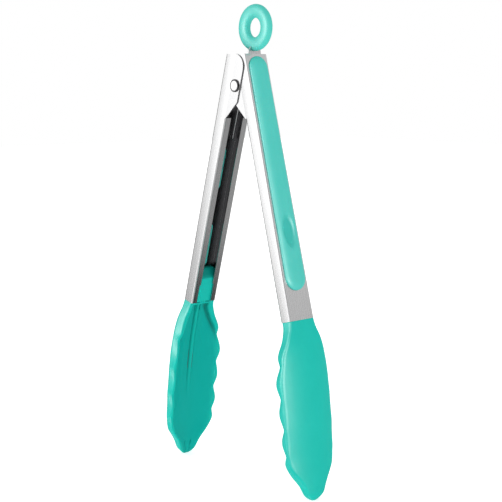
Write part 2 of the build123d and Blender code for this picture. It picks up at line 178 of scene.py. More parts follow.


# %% [markdown]
# ### Moulded silicone
# Food grade silicone is pressed in a polished mould and comes out matt, with a soft bloom and a very fine
# grain. Light goes a little way into it, so its edges look paler than its middle. Two noises give the bloom
# and the grain. The real grain is about a tenth of a millimetre; it is drawn three times as coarse to show.
# The dish of a head and the thumb's dent of a grip are painted a deeper colour, a painted shade for the shade
# that falls in them, and the rib in the dish takes less of it, a painted highlight; a piece says how much with
# its own attribute, which is nought where it has none.
# A second attribute, crease, gives the darkest colour to narrow places and to the plug's sloping top, a painted
# shade. No light makes either; both are painted.

# %% Silicone
def moulded_silicone(name, colour, pale, dish_shade_colour="#00A69C", crease_shade_colour="#006E66"):
    """Matt moulded silicone between two close colours, with a third for the painted shade of a dish and a fourth,
    darkest, for painted shade in creases.
    """
    material, tree = new_material(name)
    place = add(tree, "ShaderNodeTexCoord").outputs["Object"]
    bloom = add(
        tree, "ShaderNodeTexNoise",
        values={"Scale": 1 / (9 * MM), "Detail": 3.0, "Roughness": 0.6}, links={"Vector": place},
    )
    grain = add(
        tree, "ShaderNodeTexNoise",
        values={"Scale": 1 / (0.35 * MM), "Detail": 2.0}, links={"Vector": place},
    )
    tint = add(
        tree, "ShaderNodeMix", settings={"data_type": "RGBA"},
        links={"Factor": bloom.outputs["Fac"]},
    )
    tint.inputs["A"].default_value = seen(colour)
    tint.inputs["B"].default_value = seen(pale)
    # Painted shade: an attribute of the piece mixes in the deep colour in a dish and a thumb's dent, and less on
    # a rib.
    painted_shade = add(tree, "ShaderNodeAttribute", settings={"attribute_name": "painted_shade"})
    body = add(
        tree, "ShaderNodeMix", settings={"data_type": "RGBA"},
        links={"Factor": painted_shade.outputs["Fac"]},
    )
    tree.links.new(tint.outputs["Result"], body.inputs["A"])
    body.inputs["B"].default_value = seen(dish_shade_colour)
    # Painted shade: the crease attribute mixes in the darkest colour in narrow places and on a plug's sloping
    # top.
    crease = add(tree, "ShaderNodeAttribute", settings={"attribute_name": "crease"})
    shade = add(
        tree, "ShaderNodeMix", settings={"data_type": "RGBA"},
        links={"Factor": crease.outputs["Fac"]},
    )
    tree.links.new(body.outputs["Result"], shade.inputs["A"])
    shade.inputs["B"].default_value = seen(crease_shade_colour)
    relief = add(
        tree, "ShaderNodeBump",
        values={"Strength": 0.10, "Distance": 0.05 * MM}, links={"Height": grain.outputs["Fac"]},
    )
    shader = add(
        tree, "ShaderNodeBsdfPrincipled",
        values={
            "Roughness": 0.46, "IOR": 1.41, "Specular IOR Level": 0.12,
            "Subsurface Weight": 0.08, "Subsurface Scale": 1.5 * MM,
        },
        links={"Base Color": shade.outputs["Result"], "Normal": relief.outputs["Normal"]},
    )
    add(tree, "ShaderNodeOutputMaterial", links={"Surface": shader.outputs["BSDF"]})
    return material


silicone = moulded_silicone("moulded_silicone", "#00B4A6", "#0ABAAC")
# The grip's and the ring's colours are paler than the head's: the white in them is a painted sheen, for the soft
# gloss of their matt faces.
grip_silicone_painted_sheen = moulded_silicone("moulded_silicone_grip_painted_sheen", "#46BEB3", "#54C4BA")
ring_silicone_painted_sheen = moulded_silicone("moulded_silicone_ring_painted_sheen", "#4ABEB2", "#56C6BA")
print("finish:", silicone.name)

# %% [markdown]
# ### Brushed stainless steel
# The strip is brushed along its length before it is pressed, so each arm carries fine lengthwise lines.
# A noise stretched along the arm gives them. Each arm stands at its own angle, so each has its own copy of
# the finish, with the pattern turned to lie along it. Real lines are under a tenth of a millimetre apart;
# these are half a millimetre, so that they show. The inside of the channel is painted a darker grey, a painted
# shade for the shade inside it: the finish finds it from the arm's own sizes.

# %% Sizes of the channel, in millimetres
SHEET = 0.8
NOTCH = 24.3
FRONT_TOP = 4.07
FRONT_BOTTOM = 4.97
HALF_TOP = {"outer": 11.0, "inner": 10.1}
HALF_BOTTOM = 11.2


# %% Lengthwise lines
def brushed_lines(tree, local):
    """A noise drawn out along z, in the piece's own millimetres."""
    drawn = add(
        tree, "ShaderNodeMapping", values={"Scale": (1 / 0.55, 1 / 0.55, 1 / 34)}, links={"Vector": local},
    )
    return add(
        tree, "ShaderNodeTexNoise",
        values={"Scale": 1.0, "Detail": 4.0, "Roughness": 0.65}, links={"Vector": drawn.outputs["Vector"]},
    ).outputs["Fac"]


# %% Where the inside of the channel is
def compared(tree, operation, first, second):
    """One sum or test of a socket and a second one, which may be a number."""
    step = add(tree, "ShaderNodeMath", settings={"operation": operation}, links={0: first})
    if isinstance(second, float):
        step.inputs[1].default_value = second
    else:
        tree.links.new(second, step.inputs[1])
    return step.outputs["Value"]


def inside_channel(tree, local, arm):
    """1 on the faces inside an arm's channel and 0 on its outside, switching in the middle of the sheet."""
    axis = add(tree, "ShaderNodeSeparateXYZ", links={"Vector": local})
    half = add(
        tree, "ShaderNodeMapRange",
        values={
            "From Min": -NOTCH, "From Max": -STEEL_BOTTOM,
            "To Min": HALF_TOP[arm] - SHEET / 2, "To Max": HALF_BOTTOM - SHEET / 2,
        },
        links={"Value": axis.outputs["Z"]},
    )
    front = add(
        tree, "ShaderNodeMapRange",
        values={
            "From Min": -NOTCH, "From Max": -STEEL_BOTTOM,
            "To Min": FRONT_TOP + SHEET / 2, "To Max": FRONT_BOTTOM + SHEET / 2,
        },
        links={"Value": axis.outputs["Z"]},
    )
    across = add(tree, "ShaderNodeMath", settings={"operation": "ABSOLUTE"}, links={0: axis.outputs["Y"]})
    within = compared(tree, "LESS_THAN", across.outputs["Value"], half.outputs["Result"])
    behind_lips = compared(tree, "GREATER_THAN", axis.outputs["X"], front.outputs["Result"])
    before_back = compared(tree, "LESS_THAN", axis.outputs["X"], ARM_BACK - SHEET / 2)
    among_ears = compared(tree, "GREATER_THAN", axis.outputs["Z"], -NOTCH)
    open_front = compared(tree, "MAXIMUM", behind_lips, among_ears)
    between_walls = compared(tree, "MULTIPLY", within, open_front)
    return compared(tree, "MULTIPLY", between_walls, before_back)


# %% Bulge of the pressed walls
BULGE = 0.09


def bulge(tree, local):
    """The walls stand out a little in the middle of their width, so what they mirror is drawn out."""
    axis = add(tree, "ShaderNodeSeparateXYZ", links={"Vector": local})
    across = add(
        tree, "ShaderNodeMapRange",
        values={"From Min": (FRONT_TOP + FRONT_BOTTOM) / 2, "From Max": ARM_BACK, "To Min": -1.0},
        links={"Value": axis.outputs["X"]},
    )
    height = add(tree, "ShaderNodeMath", settings={"operation": "POWER"}, links={0: across.outputs["Result"]})
    height.inputs[1].default_value = 2.0
    return add(
        tree, "ShaderNodeBump", settings={"invert": True},
        values={"Distance": BULGE * MM}, links={"Height": height.outputs["Value"]},
    ).outputs["Normal"]


# %% Steel
def brushed_steel(name, arm=None, dark="#B9B9BA", light="#D8D8D8", channel_shade="#B0B0B2"):
    """Brushed steel; for an arm, its lines lie along the arm and its inside takes a painted shade."""
    material, tree = new_material(name)
    place = add(tree, "ShaderNodeTexCoord").outputs["Object"]
    spot, spin, size = (ARMS[arm].inverted() if arm else Matrix.Scale(1 / MM, 4)).decompose()
    local = add(
        tree, "ShaderNodeMapping",
        values={"Location": spot, "Rotation": spin.to_euler(), "Scale": size}, links={"Vector": place},
    ).outputs["Vector"]
    lines = brushed_lines(tree, local)
    tint = add(tree, "ShaderNodeMix", settings={"data_type": "RGBA"}, links={"Factor": lines})
    tint.inputs["A"].default_value = seen(dark)
    tint.inputs["B"].default_value = seen(light)
    colour = tint.outputs["Result"]
    if arm:
        # Painted shade: inside the channel the colour is multiplied by a grey.
        skin = add(
            tree, "ShaderNodeMix", settings={"data_type": "RGBA", "blend_type": "MULTIPLY"},
            links={"Factor": inside_channel(tree, local, arm)},
        )
        tree.links.new(colour, skin.inputs["A"])
        skin.inputs["B"].default_value = seen(channel_shade)
        colour = skin.outputs["Result"]
    gloss = add(tree, "ShaderNodeMapRange", values={"To Min": 0.20, "To Max": 0.34}, links={"Value": lines})
    relief = add(
        tree, "ShaderNodeBump", values={"Strength": 0.12, "Distance": 0.02 * MM}, links={"Height": lines},
    )
    if arm:
        tree.links.new(bulge(tree, local), relief.inputs["Normal"])
    shader = add(
        tree, "ShaderNodeBsdfPrincipled", values={"Metallic": 1.0},
        links={
            "Base Color": colour, "Roughness": gloss.outputs["Result"], "Normal": relief.outputs["Normal"],
        },
    )
    add(tree, "ShaderNodeOutputMaterial", links={"Surface": shader.outputs["BSDF"]})
    return material


arm_steel = {arm: brushed_steel(f"brushed_steel_{arm}_arm", arm) for arm in ARMS}
upright_steel = brushed_steel("brushed_steel_upright")
print("finishes:", ", ".join(m.name for m in arm_steel.values()))

# %% [markdown]
# ### Spring wire and nylon
# The spring is hard drawn wire, smoother and a little darker than the strip. The insert in each head is glass
# filled nylon, hidden by the silicone.

# %% Wire and nylon
def plain_finish(name, colour, metallic, roughness, speck):
    """A drawn or moulded finish with only a fine unevenness in its gloss."""
    material, tree = new_material(name)
    place = add(tree, "ShaderNodeTexCoord").outputs["Object"]
    uneven = add(tree, "ShaderNodeTexNoise", values={"Scale": 1 / (speck * MM)}, links={"Vector": place})
    gloss = add(
        tree, "ShaderNodeMapRange",
        values={"To Min": roughness - 0.05, "To Max": roughness + 0.05},
        links={"Value": uneven.outputs["Fac"]},
    )
    shader = add(
        tree, "ShaderNodeBsdfPrincipled",
        values={"Base Color": seen(colour), "Metallic": metallic},
        links={"Roughness": gloss.outputs["Result"]},
    )
    add(tree, "ShaderNodeOutputMaterial", links={"Surface": shader.outputs["BSDF"]})
    return material


wire = plain_finish("hard_drawn_wire", "#C9C9CA", 1.0, 0.25, 0.8)
nylon = plain_finish("glass_filled_nylon", "#3A3D3E", 0.0, 0.5, 0.4)

# %% [markdown]
# ### Turned rivet
# The rivet is turned and then rolled over at its ends. A dark line round each head is a painted shade, for the
# shade at the head's edge, so the finish darkens with the distance from the rivet's own middle line.

# %% Rivet
RIVET_SHADE_RADIUS = 3.3


def turned_steel(name, colour, line):
    """Bright turned steel with a painted shade, a dark line, round the edge of each head."""
    material, tree = new_material(name)
    place = add(tree, "ShaderNodeTexCoord").outputs["Object"]
    local = add(
        tree, "ShaderNodeMapping",
        values={"Location": -pivot / MM, "Scale": (1 / MM,) * 3}, links={"Vector": place},
    ).outputs["Vector"]
    flat = add(tree, "ShaderNodeVectorMath", settings={"operation": "MULTIPLY"}, links={0: local})
    flat.inputs[1].default_value = (1, 0, 1)
    radius = add(
        tree, "ShaderNodeVectorMath", settings={"operation": "LENGTH"}, links={0: flat.outputs["Vector"]},
    )
    # Painted shade: beyond this radius the head's edge takes the dark colour.
    outside = add(
        tree, "ShaderNodeMath", settings={"operation": "GREATER_THAN"}, links={0: radius.outputs["Value"]},
    )
    outside.inputs[1].default_value = RIVET_SHADE_RADIUS
    tint = add(
        tree, "ShaderNodeMix", settings={"data_type": "RGBA"}, links={"Factor": outside.outputs["Value"]},
    )
    tint.inputs["A"].default_value = seen(colour)
    tint.inputs["B"].default_value = seen(line)
    shader = add(
        tree, "ShaderNodeBsdfPrincipled", values={"Metallic": 1.0, "Roughness": 0.24},
        links={"Base Color": tint.outputs["Result"]},
    )
    add(tree, "ShaderNodeOutputMaterial", links={"Surface": shader.outputs["BSDF"]})
    return material


rivet_steel = turned_steel("turned_rivet_steel", "#CECECE", "#4A4A4B")

# %% [markdown]
# ## The silicone heads
# Each head is one moulding: a plug inside the arm's end, a neck flush with the steel, and a scalloped spoon.
# It could be carved from a block, but its section changes all the way down, so it is a loft: a grid wrapped
# round it, with one row of points for each station and each row drawn as the section there.
# The tables give its edges at stations measured from the steel's lower end, in millimetres.

# %% Edges of the head
HEAD_LENGTH = 122.5
NOSE = 117.0
RIM_HALF = (
    (0, 11.2), (5, 12.0), (12, 14.4), (24.5, 18.1), (43, 20.7), (67, 20.6), (84, 20.3), (94, 19.7),
    (100, 17.7), (104, 15.2), (108, 12.1), (112, 9.6), (116, 8.0), (120, 6.3), (HEAD_LENGTH, 5.4),
)
RIM_FRONT = (
    (0, 6.0), (10, 5.4), (24.5, 3.6), (43, 1.0), (67, -1.4), (92, -5.0), (107, -6.6), (HEAD_LENGTH, -6.6),
)
BACK_HALF = (
    (0, 11.2), (5, 12.3), (12, 15.4), (24.5, 20.5), (43, 22.9), (67, 22.6), (84, 22.2), (94, 21.1),
    (100, 18.8), (104, 15.6), (108, 12.4), (112, 9.7), (116, 7.8), (120, 6.0), (HEAD_LENGTH, 5.0),
)
BACK_LINE = (
    (0, 14.37), (12, 14.4), (24.5, 13.9), (43, 12.0), (67, 9.0), (91, 4.9), (108, 2.8), (116.5, 0.9),
    (HEAD_LENGTH, -1.6),
)
CROWN = ((0, 0.0), (12, 0.6), (24.5, 3.4), (43, 4.8), (91, 4.4), (108, 1.8), (HEAD_LENGTH, 0.6))
FLOOR = (
    (0, 5.95), (1.2, 5.95), (3.2, 10.2), (6, 11.0), (12, 11.0), (24.5, 10.8), (43, 9.4), (67, 6.2), (91, 1.7),
    (104, -1.6), (112, -4.0), (118, -5.4), (HEAD_LENGTH, -6.0),
)
CREASE_HALF = (
    (0, 7.0), (4.3, 6.0), (13.7, 9.3), (22.8, 13.9), (29.5, 16.6), (43, 18.2), (84, 17.8), (94, 17.2),
    (100, 15.2), (104, 12.7), (108, 9.7), (112, 7.4), (116, 5.8), (120, 4.2), (HEAD_LENGTH, 3.5),
)
CREASE_LINE = (
    (0, 5.95), (1.2, 5.95), (3.2, 9.9), (6, 10.3), (13.7, 9.4), (22.8, 6.6), (29.5, 4.4), (43, 2.0),
    (67, -0.4), (92, -4.1), (107, -6.0), (HEAD_LENGTH, -6.3),
)
CRESTS = (21.8, 40.1, 60.5, 79.4, 95.1)
VALLEYS = (8.0, 29.0, 50.5, 71.0, 89.4, 105.0)
SCALLOP_DEPTH = 0.85
RIB_HEIGHT = ((0, 0.0), (3, 1.2), (50, 1.0), (80, 0.0))
# off the middle line, and how far up the rib; it stands between two narrow grooves
RIB_SHAPE = (
    (2.9, 0.0), (2.5, -0.1), (2.1, -0.3), (1.8, -0.3), (1.5, 0.15), (1.2, 0.7), (0.7, 1.0), (0.25, 1.0),
    (0.0, 1.0),
)


def scallop(station):
    """How far the rim's edge stands out of its mean line, swinging between a crest and a valley."""
    turns = sorted([(place, 1) for place in CRESTS] + [(place, -1) for place in VALLEYS])
    if not turns[0][0] < station < turns[-1][0]:
        return 0.0
    i = max(k for k, (place, _) in enumerate(turns) if place <= station)
    (low, first), (high, second) = turns[i], turns[i + 1]
    ease = 0.5 - 0.5 * math.cos(math.pi * (station - low) / (high - low))
    height = (1 + first + (second - first) * ease) / 2
    fade = min(1, (station - turns[0][0]) / 10, (turns[-1][0] - station) / 20)
    return SCALLOP_DEPTH * (2 * height**0.7 - 1) * fade


# %% How round the neck's shoulders are
def soft(station):
    """1 along the neck, where its edges are well rounded, and 0 down the spoon and at the steel."""
    return min(1.0, max(0.0, station / 5)) * min(1.0, max(0.0, (34 - station) / 16))


# %% Section of the head at a station
def half_section(station):
    """Points (v, w) down one side of the section, from the middle of the back round to the front's."""
    back = along(BACK_LINE, station)
    back_half = along(BACK_HALF, station)
    drop = along(CROWN, station)
    wave = scallop(station)
    rim = (along(RIM_FRONT, station) - 1.35 * wave, along(RIM_HALF, station) + 0.45 * wave)
    crease = (along(CREASE_LINE, station), along(CREASE_HALF, station) + 0.45 * wave)
    floor = along(FLOOR, station)
    edge = (back - drop, back_half)
    shoulder = soft(station)
    crown = [(back - drop * t**2, back_half * t) for t in (k / 10 for k in range(8))]
    land = (rim[0] + 0.9 * shoulder, rim[1] - 1.5 - min(4.5 * shoulder, 0.6 * (rim[1] - 1.5 - crease[1])))
    points = [Vector(p) for p in crown]
    points += rounded(edge, crown[-1], rim, 3.2, 8)
    points += [Vector(edge).lerp(Vector(rim), t) for t in (0.55, 0.65)]
    points += rounded(rim, edge, land, 0.9 + 3 * shoulder, 5)
    points += rounded(land, rim, crease, 0.8 + 3 * shoulder, 5)
    points += [Vector(land).lerp(Vector(crease), t) for t in (0.45, 0.6, 0.75)]
    rib = along(RIB_HEIGHT, station)
    dip = floor - crease[0]
    for share in (0.97, 0.9, 0.78, 0.64, 0.5, 0.36):
        points.append(Vector((floor - dip * share**2, share * crease[1])))
    for w, raised in RIB_SHAPE:
        w = min(w, w * crease[1] / 8)
        points.append(Vector((floor - dip * (w / crease[1]) ** 2 - rib * raised, w)))
    return points


def head_row(station):
    """The whole section as a closed row of points, drawn in towards the nose at its end."""
    half = half_section(station)
    loop = half + [Vector((v, -w)) for v, w in reversed(half[1:-1])]
    share = max(0.0, (station - NOSE) / (HEAD_LENGTH - NOSE))
    keep = math.sqrt(max(0.0, 1 - share**2))
    centre = -4.6
    return [Vector((centre + (v - centre) * keep, w * keep, -STEEL_BOTTOM - station)) for v, w in loop]


stations = [0, 0.5, 1.0, 1.5, 2.0, 2.5, 3.0, 3.6, 4.4] + [5.5 + 1.55 * k for k in range(72)]
stations += [NOSE + (HEAD_LENGTH - NOSE) * math.sin(math.radians(90 * k / 9)) for k in range(10)]
head_rows = [head_row(s) for s in stations]
print("head rows:", len(head_rows), "of", len(head_rows[0]), "points")

# %% Wrap the heads
def mark(piece, name, value_of):
    """Write a number on each point of a piece, before the piece is put in its place."""
    marks = piece.data.attributes.new(name, "FLOAT", "POINT")
    for vertex, value in zip(piece.data.vertices, marks.data):
        value.value = value_of(vertex.co)


def dish_shade(point):
    """How much painted shade the dish takes: 1 on its floor, fading to 0 at its edge and on the outside of the
    head, and less on the rib, a painted highlight.
    """
    station = -STEEL_BOTTOM - point.z
    if not 0 < station < HEAD_LENGTH:
        return 0.0
    floor = along(FLOOR, station)
    back = along(BACK_LINE, station) - along(CROWN, station) * (point.y / along(BACK_HALF, station)) ** 2
    if point.x > (floor + back) / 2:
        return 0.0
    edge = along(CREASE_HALF, station)
    share = min(1.0, max(0.0, (edge + 1.5 - abs(point.y)) / 3.0))
    # The rib takes less painted shade than the floor round it, so it reads lighter: a painted highlight.
    rib = 0.7 * min(1.0, max(0.0, 1.6 - abs(point.y)) * 3) * min(1.0, max(0.0, (76 - station) / 30))
    return share * share * (3 - 2 * share) - rib


def crease_shade(point):
    """Painted shade: 1 along the crease at each side of the neck's dish, and half in one groove of its rib, the
    one seen.
    """
    station = -STEEL_BOTTOM - point.z
    if not 1 < station < 80 or dish_shade(point) == 0:
        return 0.0
    side = max(0.0, 1 - abs(abs(point.y) - along(CREASE_HALF, station)) / 1.8) * min(1, (34 - station) / 12)
    groove = max(0.0, 1 - abs(point.y - 1.95) / 0.75) * min(1, station / 15, (80 - station) / 30)
    return max(0.0, side, 0.5 * groove)


for arm, matrix in ARMS.items():
    head = wrapped(f"{arm}_silicone_head", head_rows)
    mark(head, "painted_shade", dish_shade)
    mark(head, "crease", crease_shade)
    head.data.transform(matrix)
    head.data.materials.append(silicone)
    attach(head, f"{arm}_arm")
    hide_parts(f"{arm}_head")

# %% [markdown]
# ## The plugs
# The plug is the head's upper end, pressed into the arm's channel, and it shows between the lips.
# A bevelled cube would give its lower part; its rounded tongue above needs a loft again.

# %% Sections of the plug
PLUG_BACK = 13.45
# above the steel's end: half width, front face
PLUG_ROWS = (
    (25.4, 0.0, 9.8), (25.4, 6.6, 9.8), (25.0, 8.6, 9.6), (24.2, 9.6, 9.2), (22.4, 9.9, 8.5),
    (20.6, 10.0, 7.6), (19.2, 10.05, 6.7), (18.6, 10.1, 6.15), (18.0, 10.1, 5.95), (16.0, 10.1, 5.95),
    (8.0, 10.1, 5.95),
    (0.5, 10.1, 5.95), (-2.0, 10.1, 5.95), (-2.0, 0.0, 9.0),
)


def plug_row(height, half, front):
    """One section of the plug, a rectangle with rounded corners."""
    corners = [(PLUG_BACK, -half), (PLUG_BACK, half), (front, half), (front, -half)]
    loop = []
    for before, corner, after in zip(corners[-1:] + corners[:-1], corners, corners[1:] + corners[:1]):
        if half > 0:
            loop += rounded(corner, before, after, 1.4, 5)
        else:
            loop += [Vector(((PLUG_BACK + front) / 2, 0))] * 5
    return [Vector((v, w, height - STEEL_BOTTOM)) for v, w in loop]


# %% Join each plug to its head
def slope_shade(point):
    """Painted shade on the plug's sloping top, deep in the channel: over a half there, and 0 on its front."""
    return 0.65 * min(1, max(0.0, (point.z + STEEL_BOTTOM - 18) / 2))


for arm, matrix in ARMS.items():
    head = bpy.data.objects[f"{arm}_silicone_head"]
    plug = wrapped(f"{arm}_plug", [plug_row(*row) for row in PLUG_ROWS])
    mark(plug, "crease", slope_shade)
    plug.data.transform(matrix)
    plug.data.materials.append(silicone)
    head.select_set(True)
    bpy.context.view_layer.objects.active = head
    bpy.ops.object.join()
    print(head.name, len(head.data.polygons), "faces with its plug")

# %% [markdown]
# ## The grips
# A grip is a soft pad on the arm's back, with two lugs pushed through the steel and a dent for the thumb.
# A bevelled block would do for the pad alone, but the dent needs an even net of points across the face.
# So the outline is drawn once and drawn in, loop by loop, towards the pad's own middle line.

# %% Outline of the pad
GRIP_TOP = 16.8
GRIP_BOTTOM = 145.5
GRIP_TOP_HALF = 8.0
GRIP_BOTTOM_HALF = 8.8
GRIP_THICK = 3.0
GRIP_SIDE = 0.4
GRIP_ROUND = 6.0
THUMB_DOWN = 105.0
THUMB_HALF_LENGTH = 12.5
THUMB_HALF_WIDTH = 5.6
THUMB_DEPTH = 1.5
upper = GRIP_TOP - GRIP_TOP_HALF
lower = GRIP_BOTTOM_HALF - GRIP_BOTTOM
arc = [math.radians(180 * k / 14) for k in range(15)]
sides = [upper + (lower - upper) * k / 90 for k in range(1, 90)]
outline = [(upper + GRIP_TOP_HALF * math.sin(a), GRIP_TOP_HALF * math.cos(a)) for a in arc]
outline += [(z, -along(((lower, GRIP_BOTTOM_HALF), (upper, GRIP_TOP_HALF)), z)) for z in sides]
outline += [(lower - GRIP_BOTTOM_HALF * math.sin(a), -GRIP_BOTTOM_HALF * math.cos(a)) for a in arc]
outline += [(z, along(((lower, GRIP_BOTTOM_HALF), (upper, GRIP_TOP_HALF)), z)) for z in reversed(sides)]


def pad_row(keep, rise):
    """The outline drawn in to a share of its width and lifted off the steel, with the thumb's dent in it."""
    row = []
    for z, w in outline:
        middle = min(max(z, lower), upper)
        here = Vector((ARM_BACK + rise, w * keep, middle + (z - middle) * keep))
        far = ((here.z + THUMB_DOWN) / THUMB_HALF_LENGTH) ** 2 + (here.y / THUMB_HALF_WIDTH) ** 2
        if far < 1 and rise > GRIP_SIDE:
            here.x -= THUMB_DEPTH * min(1, 2.2 * (1 - far)) ** 1.5
        row.append(here)
    return row


pad_rows = [pad_row(0, 0), pad_row(0.985, 0), pad_row(0.995, 0.15)]
for k in range(13):
    turn = math.radians(90 * k / 12)
    keep = 1 - GRIP_ROUND * (1 - math.cos(turn)) / GRIP_TOP_HALF
    pad_rows.append(pad_row(keep, GRIP_SIDE + (GRIP_THICK - GRIP_SIDE) * math.sin(turn)))
flat = keep
pad_rows += [pad_row(flat * (1 - k / 10), GRIP_THICK) for k in range(1, 11)]

# %% Lugs through the steel
LUGS = ((49.4, 79.6), (107.3, 138.9))
LUG_HALF = 2.55
# growth of the half width, and place outward of the pivot: from inside the pad to the bead's end
LUG_SECTIONS = (
    (-LUG_HALF, 15.2), (0, 15.2), (0, 13.5), (0.65, 13.3), (0.75, 12.9), (0.35, 12.5), (-LUG_HALF, 12.45),
)


def lug_rows(start, end):
    """A round-ended lug with a wider bead on the inside of the arm, which keeps it in its slot."""
    rows = []
    top, bottom = -start - LUG_HALF, -end + LUG_HALF
    for grow, v in LUG_SECTIONS:
        half = LUG_HALF + grow
        row = [Vector((v, half * math.cos(a), top + half * math.sin(a))) for a in arc]
        row += [Vector((v, -half * math.cos(a), bottom - half * math.sin(a))) for a in arc]
        rows.append(row)
    return rows


# %% Wrap the grips
def dent_shade(point):
    """Painted shade in the thumb's dent: nearly a half in its middle and 0 outside it."""
    far = ((point.z + THUMB_DOWN) / THUMB_HALF_LENGTH) ** 2 + (point.y / THUMB_HALF_WIDTH) ** 2
    return 0.45 * min(1, max(0.0, 1.6 * (1 - far)))


for arm, matrix in ARMS.items():
    grip = wrapped(f"{arm}_silicone_grip", pad_rows)
    mark(grip, "painted_shade", dent_shade)
    grip.data.transform(matrix)
    lugs = [wrapped(f"{arm}_lug_{k}", lug_rows(*ends), matrix) for k, ends in enumerate(LUGS)]
    for piece in [grip] + lugs:
        piece.select_set(True)
    bpy.context.view_layer.objects.active = grip
    bpy.ops.object.join()
    bpy.ops.object.shade_smooth_by_angle(angle=math.radians(50))
    grip.data.materials.clear()
    grip.data.materials.append(grip_silicone_painted_sheen)
    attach(grip, f"{arm}_arm")
    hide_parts(f"{arm}_grip")
    print(grip.name, len(grip.data.polygons), "faces")

# %% [markdown]
# ## The pull ring
# The ring is moulded round the lock bar's tongue, thick and round like a sweet. A torus would be too plain:
# its section is fuller than a circle, so one section is drawn and spun about the hole's axis.

# %% Spin the ring
RING_HALF = 15.8
HOLE_HALF = 6.5
RING_THICK = 6.4
FULLNESS = 2.35
section_middle = (RING_HALF + HOLE_HALF) / 2
bpy.ops.object.select_all(action="DESELECT")
bpy.ops.mesh.primitive_circle_add(vertices=32, radius=1, location=(section_middle * MM, 0, 0))
ring = bpy.context.object
ring.name = "moulded_pull_ring"
for vertex in ring.data.vertices:
    x, y = vertex.co.x, vertex.co.y
    reach = (abs(x) ** FULLNESS + abs(y) ** FULLNESS) ** (1 / FULLNESS)
    vertex.co.x = x / reach * (RING_HALF - HOLE_HALF) / 2 * MM
    vertex.co.y = y / reach * RING_THICK / 2 * MM
bpy.ops.object.transform_apply(location=True)
bpy.ops.object.mode_set(mode="EDIT")
bpy.ops.mesh.select_all(action="SELECT")
bpy.ops.mesh.spin(steps=112, angle=2 * math.pi, center=(0, 0, 0), axis=(0, 1, 0))
bpy.ops.mesh.select_all(action="SELECT")
bpy.ops.mesh.remove_doubles(threshold=0.000001)
bpy.ops.mesh.normals_make_consistent(inside=False)
bpy.ops.object.mode_set(mode="OBJECT")
bpy.ops.object.shade_smooth()
ring.data.materials.append(ring_silicone_painted_sheen)
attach(ring, "lock")
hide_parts("pull_ring")
print("ring", [round(d * 1000, 1) for d in ring.dimensions], "mm")

# %% [markdown]
# ## The torsion spring
# A coil of hard wire sits on the rivet between the ears, and a leg from each end presses an arm open.
# A screw modifier would draw the coil but not its legs, so a circle of wire is carried along the whole line.
# Each half of the spring rides its own arm; the halves overlap in the coil, so it never opens in a pose.

# %% Line of the wire
WIRE_HALF = 0.6
COIL_HALF = 3.6
COIL_PITCH = 1.25
COIL_TURNS = 4.0
LEG_DOWN = 43.0
LEG_DROP = 15.0
LEG_SPREAD = 7.2
WIRE_GAP = 0.2
angle = math.radians(OPEN_ANGLE)
outward = ARM_BACK - SHEET - WIRE_HALF - WIRE_GAP
tip = Vector((
    outward * math.cos(angle) + LEG_DOWN * math.sin(angle), 0,
    outward * math.sin(angle) - LEG_DOWN * math.cos(angle),
))
leaves = math.atan2(tip.z, tip.x) + math.acos(COIL_HALF / tip.length)
coil_end = -COIL_PITCH * COIL_TURNS / 2


def wire_line():
    """Points of the inner arm's half: from the middle of the coil out to its end, and down the leg."""
    line = []
    total = 360 * COIL_TURNS / 2 + 14
    steps = 150
    for k in range(steps + 1):
        back = total * (1 - k / steps)
        a = leaves + math.radians(back)
        y = coil_end + COIL_PITCH * back / 360
        line.append(Vector((COIL_HALF * math.cos(a), y, COIL_HALF * math.sin(a))))
    start = line[-1]
    share = (start.z + LEG_DROP) / (start.z - tip.z)
    bend = Vector((start.x + share * (tip.x - start.x), coil_end, -LEG_DROP))
    end = Vector((tip.x, -LEG_SPREAD, tip.z))
    line += [start.lerp(bend, t) for t in (0.15, 0.35, 0.55, 0.7)]
    line += rounded(bend, start, end, 5.0, 9)
    line += [bend.lerp(end, t) for t in (0.35, 0.55, 0.75, 0.9, 1.0)]
    return line


def wire_rows(line):
    """Circles of wire square to the line, closed at both ends."""
    rows = []
    for k, here in enumerate(line):
        ahead = line[min(k + 1, len(line) - 1)] - line[max(k - 1, 0)]
        side = ahead.cross(Vector((0, 1, 0))).normalized()
        up = side.cross(ahead).normalized()
        circle = [(math.cos(a), math.sin(a)) for a in (2 * math.pi * j / 14 for j in range(14))]
        row = [here + (side * x + up * y) * WIRE_HALF for x, y in circle]
        if k == 0:
            rows.append([here] * 14)
        rows.append(row)
    rows.append([line[-1]] * 14)
    return rows


# %% Draw both halves
spring_rows = wire_rows(wire_line())
for arm, turn in (("inner", 0), ("outer", math.pi)):
    place = Matrix.Translation(pivot) @ Matrix.Rotation(turn, 4, "Z") @ Matrix.Scale(MM, 4)
    half = wrapped(f"{arm}_half_of_spring", spring_rows, place)
    half.data.materials.append(wire)
    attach(half, f"{arm}_arm")
    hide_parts("torsion_spring")

# %% [markdown]
# ## The solids that stay
# The folded strip, the rivet and the lock bar have their true shape already, so they only get their finish.

# %% Dress the solids
finishes = {
    "outer_arm_channel": arm_steel["outer"], "inner_arm_channel": arm_steel["inner"],
    "lock_bar": upright_steel, "pivot_rivet": rivet_steel, "outer_head_core": nylon, "inner_head_core": nylon,
}
for name, node in nodes.items():
    node.data.materials.clear()
    node.data.materials.append(finishes.get(name, silicone))

# %% [markdown]
# ## The studio
# The tongs stand on a white sheet under white light. A large soft box to the left of the camera brightens
# the faces of the near side. Bright steel mirrors whatever stands round it, so one bright card lights its
# walls and dark cards draw its folds. The cards are seen in reflections alone, and the bright one fades
# across its face. They are set for the view at rest; from behind, the dark ones can turn a whole face dark.

